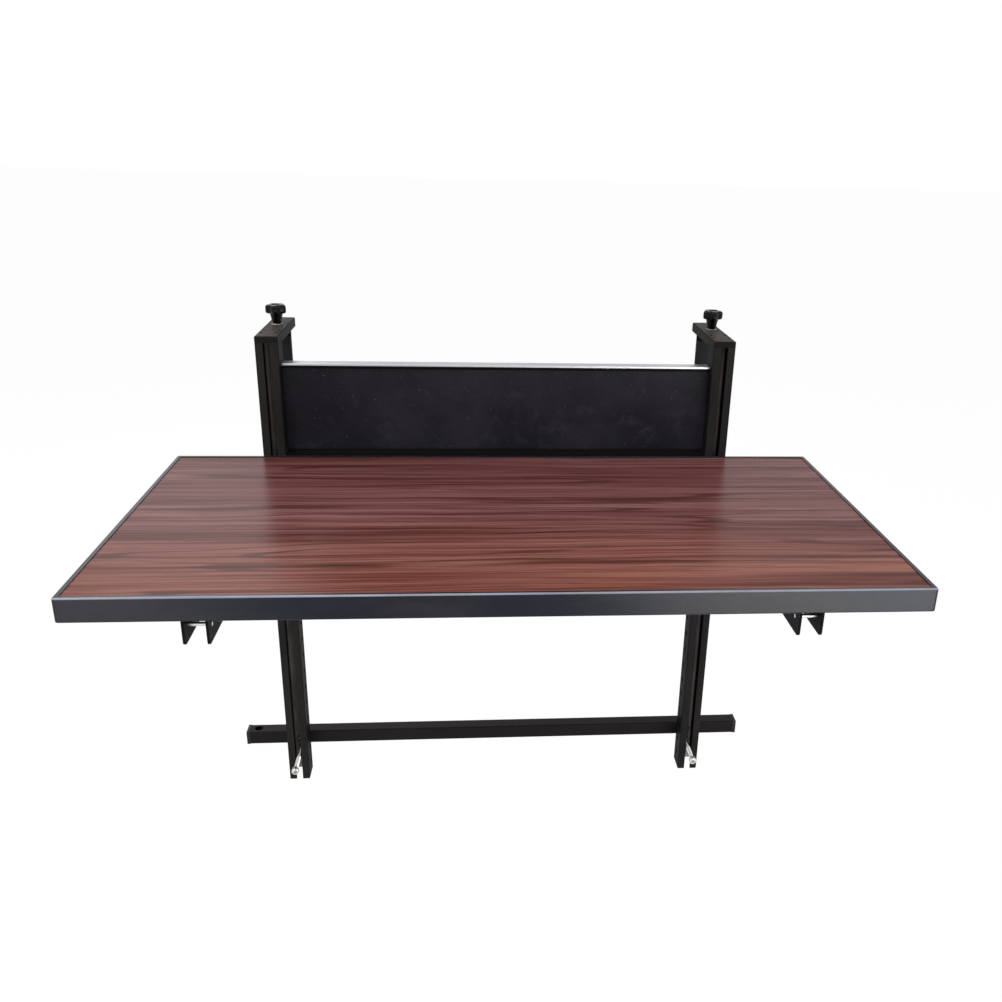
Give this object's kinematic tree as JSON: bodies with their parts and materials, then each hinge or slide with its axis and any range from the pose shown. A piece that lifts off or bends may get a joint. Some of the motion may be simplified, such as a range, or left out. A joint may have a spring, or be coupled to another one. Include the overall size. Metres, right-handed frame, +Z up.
{
  "type": "balcony railing bar table",
  "caption": "Bar table that hooks over a balcony rail: slotted posts with clamp hooks carry a drop-leaf wood-grain top on folding props, with a back panel and a crossbar with levelling feet.",
  "frame": {"origin": "midway between the two hooks, on the line where the rail's top plane meets the plane of its front face", "axes": "+X along the rail to the right of someone at the table, +Y outwards over the rail, +Z up"},
  "size_m": [0.8, 0.536, 0.6654],
  "materials": {
    "frame_black": "satin black powder coat",
    "crossbar_black": "satin black powder coat",
    "panel_black": "fine-textured black powder coat",
    "arm_black": "satin black powder coat",
    "trim_silver": "satin anodised",
    "bright_zinc": "bright zinc plate",
    "dark_zinc": "dull passivated zinc plate",
    "knob_plastic": "semi-gloss moulded",
    "cap_plastic": "fine matt grain",
    "foot_nylon": "matt moulded nylon",
    "pad_rubber": "matt",
    "board_core": "particle board with a brown backing sheet",
    "laminate": "semi-gloss reddish-brown wood-grain laminate",
    "edge_anthracite": "glossy anthracite lacquer"
  },
  "bodies": {
    "frame": {"upright_left": "frame_black", "upright_pad_left": "pad_rubber", "hook_arm_left": "frame_black", "hook_pad_left": "pad_rubber", "crossbar_end_cap_left": "cap_plastic", "levelling_nut_left": "bright_zinc", "upright_right": "frame_black", "upright_pad_right": "pad_rubber", "hook_arm_right": "frame_black", "hook_pad_right": "pad_rubber", "crossbar_end_cap_right": "cap_plastic", "levelling_nut_right": "bright_zinc", "stop_rivets": "frame_black", "clamp_washers": "bright_zinc", "crossbar": "crossbar_black", "crossbar_bolts": "dark_zinc", "crossbar_nuts": "dark_zinc", "back_panel": "panel_black", "panel_top_trim": "trim_silver", "panel_screws": "dark_zinc"},
    "carriage": {"slide_bracket_left": "arm_black", "slide_nut_left": "dark_zinc", "hinge_pin_left": "bright_zinc", "slide_bracket_right": "arm_black", "slide_nut_right": "dark_zinc", "hinge_pin_right": "bright_zinc", "slide_bolts": "dark_zinc", "prop_pivot_pins": "bright_zinc"},
    "leaf": {"arm_left": "arm_black", "arm_right": "arm_black", "arm_end_pins": "bright_zinc", "arm_screws": "dark_zinc", "table_board": "board_core", "laminate_top": "laminate", "edge_trim_front": "edge_anthracite", "edge_trim_back": "edge_anthracite", "edge_trim_left": "edge_anthracite", "edge_trim_right": "edge_anthracite"},
    "jaw_left": {"rear_jaw_left": "frame_black", "jaw_pad_left": "pad_rubber"},
    "knob_left": {"clamp_knob_left": "knob_plastic", "clamp_stud_left": "bright_zinc"},
    "clamp_nut_left": {"clamp_nut_left": "dark_zinc"},
    "screw_left": {"levelling_screw_left": "bright_zinc"},
    "foot_left": {"levelling_foot_left": "foot_nylon", "foot_sole_left": "pad_rubber"},
    "prop_left": {"prop_left": "arm_black", "prop_tip_pin_left": "bright_zinc"},
    "jaw_right": {"rear_jaw_right": "frame_black", "jaw_pad_right": "pad_rubber"},
    "knob_right": {"clamp_knob_right": "knob_plastic", "clamp_stud_right": "bright_zinc"},
    "clamp_nut_right": {"clamp_nut_right": "dark_zinc"},
    "screw_right": {"levelling_screw_right": "bright_zinc"},
    "foot_right": {"levelling_foot_right": "foot_nylon", "foot_sole_right": "pad_rubber"},
    "prop_right": {"prop_right": "arm_black", "prop_tip_pin_right": "bright_zinc"}
  },
  "joints": [
    {"name": "height_slide", "type": "slide", "parent": "frame", "child": "carriage", "axis": [0, 0, 1], "range_m": [0, 0.075]},
    {"name": "table_fold", "type": "hinge", "parent": "carriage", "child": "leaf", "pos_m": [0, -0.047, -0.175], "axis": [1, 0, 0], "range_deg": [0, 90]},
    {"name": "prop_left_fold", "type": "hinge", "parent": "carriage", "child": "prop_left", "pos_m": [-0.283, -0.047, -0.285], "axis": [1, 0, 0], "range_deg": [0, 122.5]},
    {"name": "jaw_left_slide", "type": "slide", "parent": "frame", "child": "jaw_left", "axis": [0, 1, 0], "range_m": [-0.025, 0.02]},
    {"name": "clamp_nut_left_drop", "type": "slide", "parent": "frame", "child": "clamp_nut_left", "axis": [0, 0, -1], "range_m": [0, 0.0015]},
    {"name": "knob_left_turn", "type": "hinge", "parent": "frame", "child": "knob_left", "pos_m": [-0.283, 0.047, 0.025], "axis": [0, 0, 1], "range_deg": [0, 541]},
    {"name": "foot_left_reach", "type": "slide", "parent": "frame", "child": "foot_left", "axis": [0, 1, 0], "range_m": [0, 0.02]},
    {"name": "screw_left_turn", "type": "hinge", "parent": "foot_left", "child": "screw_left", "pos_m": [-0.283, 0, -0.594], "axis": [0, 1, 0], "range_deg": [0, 7201]},
    {"name": "prop_right_fold", "type": "hinge", "parent": "carriage", "child": "prop_right", "pos_m": [0.283, -0.047, -0.285], "axis": [1, 0, 0], "range_deg": [0, 122.5]},
    {"name": "jaw_right_slide", "type": "slide", "parent": "frame", "child": "jaw_right", "axis": [0, 1, 0], "range_m": [-0.025, 0.02]},
    {"name": "clamp_nut_right_drop", "type": "slide", "parent": "frame", "child": "clamp_nut_right", "axis": [0, 0, -1], "range_m": [0, 0.0015]},
    {"name": "knob_right_turn", "type": "hinge", "parent": "frame", "child": "knob_right", "pos_m": [0.283, 0.047, 0.025], "axis": [0, 0, 1], "range_deg": [0, 541]},
    {"name": "foot_right_reach", "type": "slide", "parent": "frame", "child": "foot_right", "axis": [0, 1, 0], "range_m": [0, 0.02]},
    {"name": "screw_right_turn", "type": "hinge", "parent": "foot_right", "child": "screw_right", "pos_m": [0.283, 0, -0.594], "axis": [0, 1, 0], "range_deg": [0, 7201]}
  ],
  "couplings": [
    {"joint": "prop_left_fold", "follows": "table_fold", "ratio": 1.3601},
    {"joint": "knob_left_turn", "follows": "clamp_nut_left_drop", "rad_per_m": 6283.2},
    {"joint": "screw_left_turn", "follows": "foot_left_reach", "rad_per_m": 6283.2},
    {"joint": "prop_right_fold", "follows": "table_fold", "ratio": 1.3601},
    {"joint": "knob_right_turn", "follows": "clamp_nut_right_drop", "rad_per_m": 6283.2},
    {"joint": "screw_right_turn", "follows": "foot_right_reach", "rad_per_m": 6283.2}
  ]
}
